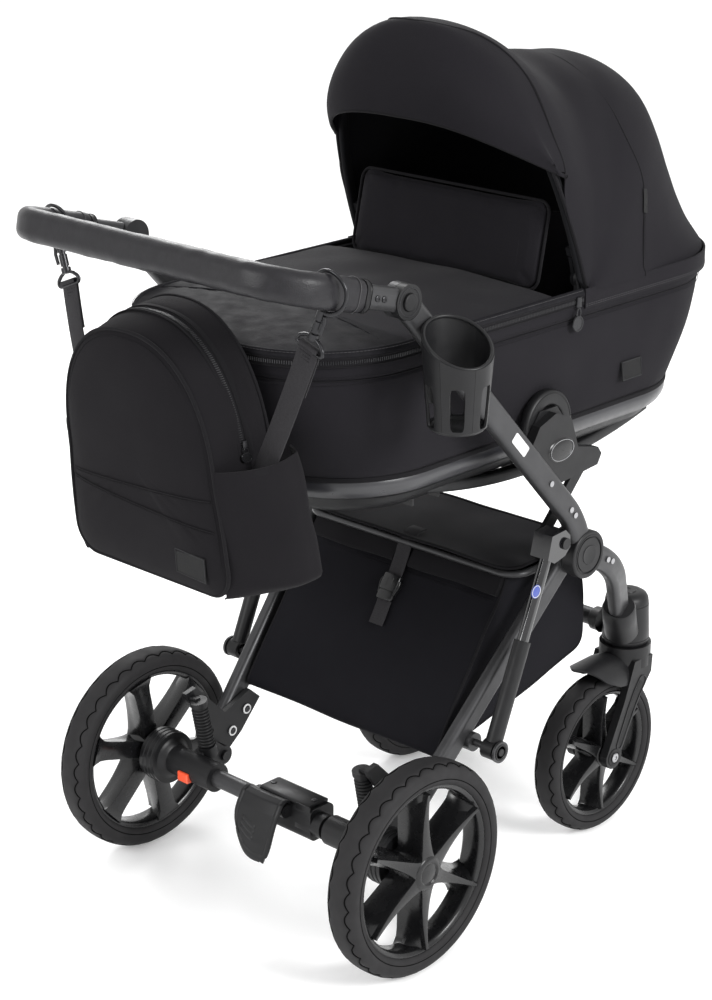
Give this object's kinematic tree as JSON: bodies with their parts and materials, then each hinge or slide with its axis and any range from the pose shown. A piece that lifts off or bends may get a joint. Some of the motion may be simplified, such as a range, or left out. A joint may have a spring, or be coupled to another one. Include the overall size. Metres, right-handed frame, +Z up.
{
  "type": "baby stroller",
  "caption": "Four-wheel baby stroller with a folding frame, a lift-off carrycot with hood and apron, a hanging bag and a basket.",
  "frame": {"origin": "on the floor, in the middle plane, between the front and rear wheels", "axes": "+X to the pusher's right, +Y forward (towards the front wheels and the head end of the cot), +Z up"},
  "size_m": [0.6335, 0.98, 1.182],
  "materials": {
    "frame": "satin black anodised tube",
    "plastic": "satin moulded black",
    "cot_plastic": "satin moulded dark grey",
    "gloss_rod": "gloss black",
    "tyre": "matt black foam rubber",
    "rim": "semi-gloss black",
    "rubber": "matt black rubber",
    "steel": "brushed",
    "black_steel": "black coated",
    "grip": "grained black leatherette",
    "fabric": "matt black woven",
    "bag_fabric": "matt black woven",
    "lining": "dark grey knitted",
    "webbing": "black webbing",
    "orange": "orange-red moulded"
  },
  "bodies": {
    "chassis": {"main_tube_right": "frame", "main_tube_left": "frame", "front_leg_right": "frame", "front_leg_left": "frame", "fork_housing_right": "plastic", "fork_housing_left": "plastic", "main_hinges": "plastic", "adapter_brackets": "plastic", "strut_links": "plastic", "front_crossbar": "frame", "basket_rail": "frame", "basket": "bag_fabric", "cup_holder": "plastic", "frame_screws": "steel"},
    "basket_lid": {"basket_lid": "bag_fabric"},
    "handle": {"handle_bar": "frame", "handle_grip": "grip", "handle_joints": "plastic", "bag_hooks": "black_steel"},
    "bag": {"bag_body": "bag_fabric", "bag_straps": "webbing"},
    "rear_legs": {"rear_leg_right": "frame", "rear_leg_left": "frame", "leg_plates": "plastic", "suspension_springs": "rubber"},
    "rear_axle": {"rear_axle_tube": "frame", "brake_block": "plastic", "axle_housing_right": "plastic", "axle_housing_left": "plastic"},
    "brake_pedal": {"brake_pedal": "plastic"},
    "carrycot": {"cot_body": "fabric", "cot_base": "cot_plastic", "cot_receivers": "plastic", "mattress": "lining", "apron": "fabric", "hood_hubs": "plastic", "hood_fabric": "fabric", "hood_rear": "fabric"},
    "hood_front": {"hood_bow": "plastic", "visor": "fabric"},
    "handle_button_right": {"handle_button_right": "plastic"},
    "strut_rod_right": {"strut_rod_right": "gloss_rod"},
    "strut_sleeve_right": {"strut_sleeve_right": "plastic"},
    "release_button_right": {"release_button_right": "orange"},
    "rear_wheel_right": {"rear_rim_right": "rim", "rear_tyre_right": "tyre"},
    "fork_right": {"fork_right": "plastic", "mudguard_right": "plastic"},
    "front_wheel_right": {"front_rim_right": "rim", "front_tyre_right": "tyre"},
    "handle_button_left": {"handle_button_left": "plastic"},
    "strut_rod_left": {"strut_rod_left": "gloss_rod"},
    "strut_sleeve_left": {"strut_sleeve_left": "plastic"},
    "release_button_left": {"release_button_left": "orange"},
    "rear_wheel_left": {"rear_rim_left": "rim", "rear_tyre_left": "tyre"},
    "fork_left": {"fork_left": "plastic", "mudguard_left": "plastic"},
    "front_wheel_left": {"front_rim_left": "rim", "front_tyre_left": "tyre"}
  },
  "joints": [
    {"name": "basket_lid_lift", "type": "hinge", "parent": "chassis", "child": "basket_lid", "pos_m": [0, 0.142, 0.466], "axis": [1, 0, 0], "range_deg": [-35, 0]},
    {"name": "handle_tilt", "type": "hinge", "parent": "chassis", "child": "handle", "pos_m": [0, -0.303, 0.908], "axis": [1, 0, 0], "range_deg": [-25, 20]},
    {"name": "bag_hang", "type": "hinge", "parent": "handle", "child": "bag", "pos_m": [0, -0.428, 0.893], "axis": [1, 0, 0], "range_deg": [-20, 25]},
    {"name": "rear_leg_fold", "type": "hinge", "parent": "chassis", "child": "rear_legs", "pos_m": [0, 0.062, 0.484], "axis": [1, 0, 0], "range_deg": [0, 38]},
    {"name": "suspension", "type": "hinge", "parent": "rear_legs", "child": "rear_axle", "pos_m": [0, -0.236, 0.15], "axis": [-1, 0, 0], "range_deg": [0, 4], "stiffness_Nm_per_rad": 60, "springref_deg": -20.05, "deforming": ["suspension_springs"]},
    {"name": "brake_pedal_press", "type": "hinge", "parent": "rear_axle", "child": "brake_pedal", "pos_m": [0, -0.316, 0.163], "axis": [1, 0, 0], "range_deg": [0, 18]},
    {"name": "carrycot_lift", "type": "slide", "parent": "chassis", "child": "carrycot", "axis": [0, 0, 1], "range_m": [0, 0.25]},
    {"name": "hood_fold", "type": "hinge", "parent": "carrycot", "child": "hood_front", "pos_m": [0, 0.1, 0.852], "axis": [1, 0, 0], "range_deg": [-32, 0], "deforming": ["hood_fabric"]},
    {"name": "handle_button_press_right", "type": "slide", "parent": "handle", "child": "handle_button_right", "axis": [-1, 0, 0], "range_m": [0, 0.003], "stiffness_N_per_m": 500, "springref_m": -0.003},
    {"name": "strut_swing_right", "type": "hinge", "parent": "chassis", "child": "strut_rod_right", "pos_m": [0.246, 0.009, 0.515], "axis": [1, 0, 0], "range_deg": [0, 35.7]},
    {"name": "strut_slide_right", "type": "slide", "parent": "strut_rod_right", "child": "strut_sleeve_right", "axis": [0, -0.3914, -0.9202], "range_m": [0, 0.0386]},
    {"name": "release_button_press_right", "type": "slide", "parent": "rear_axle", "child": "release_button_right", "axis": [0, 1, 0], "range_m": [0, 0.003], "stiffness_N_per_m": 500, "springref_m": -0.003},
    {"name": "rear_wheel_spin_right", "type": "hinge", "parent": "rear_axle", "child": "rear_wheel_right", "pos_m": [0.262, -0.29, 0.148], "axis": [1, 0, 0], "continuous": true},
    {"name": "fork_swivel_right", "type": "hinge", "parent": "chassis", "child": "fork_right", "pos_m": [0.18, 0.257, 0.26], "axis": [0, 0, 1], "continuous": true},
    {"name": "front_wheel_spin_right", "type": "hinge", "parent": "fork_right", "child": "front_wheel_right", "pos_m": [0.18, 0.192, 0.12], "axis": [1, 0, 0], "continuous": true},
    {"name": "handle_button_press_left", "type": "slide", "parent": "handle", "child": "handle_button_left", "axis": [1, 0, 0], "range_m": [0, 0.003], "stiffness_N_per_m": 500, "springref_m": -0.003},
    {"name": "strut_swing_left", "type": "hinge", "parent": "chassis", "child": "strut_rod_left", "pos_m": [-0.246, 0.009, 0.515], "axis": [1, 0, 0], "range_deg": [0, 35.7]},
    {"name": "strut_slide_left", "type": "slide", "parent": "strut_rod_left", "child": "strut_sleeve_left", "axis": [0, -0.3914, -0.9202], "range_m": [0, 0.0386]},
    {"name": "release_button_press_left", "type": "slide", "parent": "rear_axle", "child": "release_button_left", "axis": [0, 1, 0], "range_m": [0, 0.003], "stiffness_N_per_m": 500, "springref_m": -0.003},
    {"name": "rear_wheel_spin_left", "type": "hinge", "parent": "rear_axle", "child": "rear_wheel_left", "pos_m": [-0.262, -0.29, 0.148], "axis": [1, 0, 0], "continuous": true},
    {"name": "fork_swivel_left", "type": "hinge", "parent": "chassis", "child": "fork_left", "pos_m": [-0.18, 0.257, 0.26], "axis": [0, 0, 1], "continuous": true},
    {"name": "front_wheel_spin_left", "type": "hinge", "parent": "fork_left", "child": "front_wheel_left", "pos_m": [-0.18, 0.192, 0.12], "axis": [1, 0, 0], "continuous": true}
  ],
  "couplings": [
    {"joint": "bag_hang", "follows": "handle_tilt", "ratio": -1},
    {"joint": "strut_swing_right", "follows": "rear_leg_fold", "ratio": 0.927},
    {"joint": "strut_slide_right", "follows": "rear_leg_fold", "m_per_rad": 0.0574},
    {"joint": "strut_swing_left", "follows": "rear_leg_fold", "ratio": 0.927},
    {"joint": "strut_slide_left", "follows": "rear_leg_fold", "m_per_rad": 0.0574}
  ]
}
